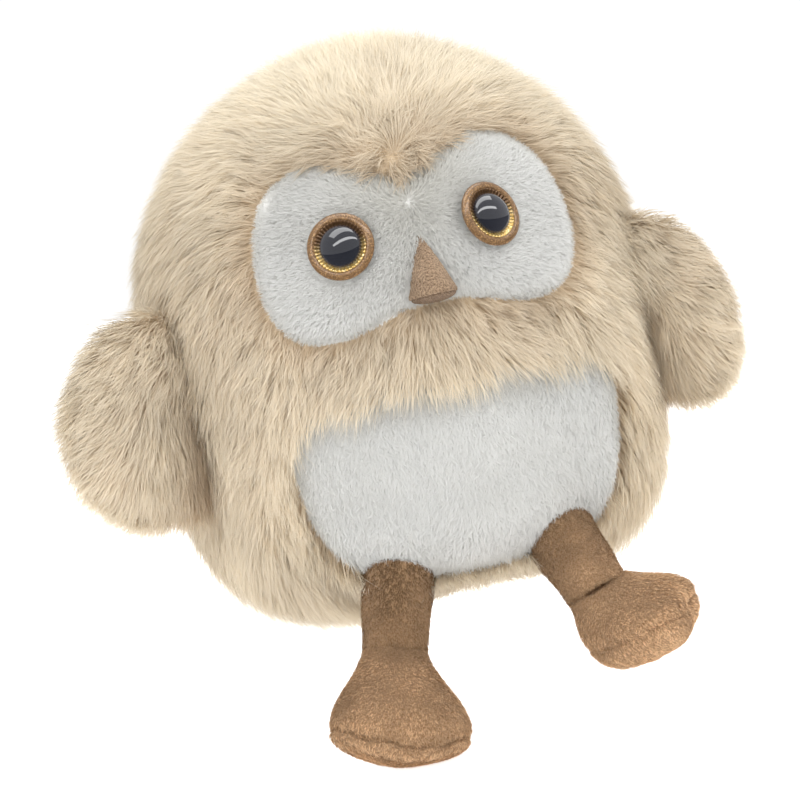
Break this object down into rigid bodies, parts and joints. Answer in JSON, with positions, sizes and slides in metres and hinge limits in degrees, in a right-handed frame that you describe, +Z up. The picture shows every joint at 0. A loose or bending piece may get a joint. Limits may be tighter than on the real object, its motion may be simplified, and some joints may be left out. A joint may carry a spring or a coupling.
{
  "type": "owl plush toy",
  "caption": "Round plush owl with a white face and belly, plastic eyes, a small beak, two soft wings and two dangling legs with padded feet.",
  "frame": {"origin": "centre of the flat seat under the body", "axes": "+Z up through the crown, -Y out of the face, +X to the owl's left"},
  "size_m": [0.2004, 0.1778, 0.207],
  "materials": {
    "fur_beige": "long-pile beige faux fur",
    "fur_cream": "long-pile cream faux fur",
    "plush_white": "short-pile white plush",
    "suede_tan": "tan microsuede",
    "suede_brown": "brown velboa with a short nap",
    "stuffing": "white polyester fibre filling",
    "eye_amber": "amber glitter plastic",
    "eye_gold": "ribbed gold glitter under clear plastic",
    "eye_black": "glossy near-black dome",
    "eye_plastic": "plain moulded plastic"
  },
  "bodies": {
    "owl_body": {"face_mask": "plush_white", "belly_panel": "plush_white", "chest_band": "fur_beige", "crown_panel": "fur_cream", "side_panel_left": "fur_beige", "side_panel_right": "fur_beige", "back_panel_left": "fur_beige", "back_panel_right": "fur_beige", "base_panel": "fur_beige", "body_stuffing": "stuffing", "beak_cover": "suede_tan", "beak_underside": "suede_tan", "beak_stuffing": "stuffing", "eye_rim_right": "eye_amber", "eye_iris_right": "eye_gold", "eye_pupil_right": "eye_black", "eye_stem_right": "eye_plastic", "eye_washer_right": "eye_plastic", "eye_rim_left": "eye_amber", "eye_iris_left": "eye_gold", "eye_pupil_left": "eye_black", "eye_stem_left": "eye_plastic", "eye_washer_left": "eye_plastic"},
    "wing_right": {"wing_front_right": "fur_beige", "wing_back_right": "fur_beige", "wing_stuffing_right": "stuffing"},
    "hip_right": {"hip_tab_right": "suede_brown"},
    "leg_right": {"leg_sleeve_right": "suede_brown", "leg_stuffing_right": "stuffing"},
    "foot_right": {"foot_upper_right": "suede_brown", "foot_sole_right": "suede_brown", "foot_stuffing_right": "stuffing"},
    "wing_left": {"wing_front_left": "fur_beige", "wing_back_left": "fur_beige", "wing_stuffing_left": "stuffing"},
    "hip_left": {"hip_tab_left": "suede_brown"},
    "leg_left": {"leg_sleeve_left": "suede_brown", "leg_stuffing_left": "stuffing"},
    "foot_left": {"foot_upper_left": "suede_brown", "foot_sole_left": "suede_brown", "foot_stuffing_left": "stuffing"}
  },
  "joints": [
    {"name": "wing_flap_right", "type": "hinge", "parent": "owl_body", "child": "wing_right", "pos_m": [-0.07262, -0.02375, 0.068], "axis": [0, 0, 1], "range_deg": [-35, 40], "stiffness_Nm_per_rad": 0.01},
    {"name": "wing_flap_left", "type": "hinge", "parent": "owl_body", "child": "wing_left", "pos_m": [0.07262, -0.02375, 0.068], "axis": [0, 0, -1], "range_deg": [-60, 15], "stiffness_Nm_per_rad": 0.01},
    {"name": "hip_swing_right", "type": "hinge", "parent": "owl_body", "child": "hip_right", "pos_m": [-0.024, -0.05276, 0.01], "axis": [-1, 0, 0], "range_deg": [-28, 72]},
    {"name": "hip_splay_right", "type": "hinge", "parent": "hip_right", "child": "leg_right", "pos_m": [-0.024, -0.05276, 0.01], "axis": [0, 0.9744, -0.225], "range_deg": [-15, 35]},
    {"name": "ankle_bend_right", "type": "hinge", "parent": "leg_right", "child": "foot_right", "pos_m": [-0.03248, -0.059, -0.01702], "axis": [-0.954, -0.0024, 0.2999], "range_deg": [-28, 28], "stiffness_Nm_per_rad": 0.005},
    {"name": "hip_swing_left", "type": "hinge", "parent": "owl_body", "child": "hip_left", "pos_m": [0.024, -0.05276, 0.01], "axis": [-1, 0, 0], "range_deg": [-57, 43]},
    {"name": "hip_splay_left", "type": "hinge", "parent": "hip_left", "child": "leg_left", "pos_m": [0.024, -0.05276, 0.01], "axis": [0, -0.7431, 0.6691], "range_deg": [-9, 41]},
    {"name": "ankle_bend_left", "type": "hinge", "parent": "leg_left", "child": "foot_left", "pos_m": [0.02953, -0.07181, -0.01115], "axis": [-0.8823, -0.4405, 0.1659], "range_deg": [-28, 28], "stiffness_Nm_per_rad": 0.005}
  ]
}
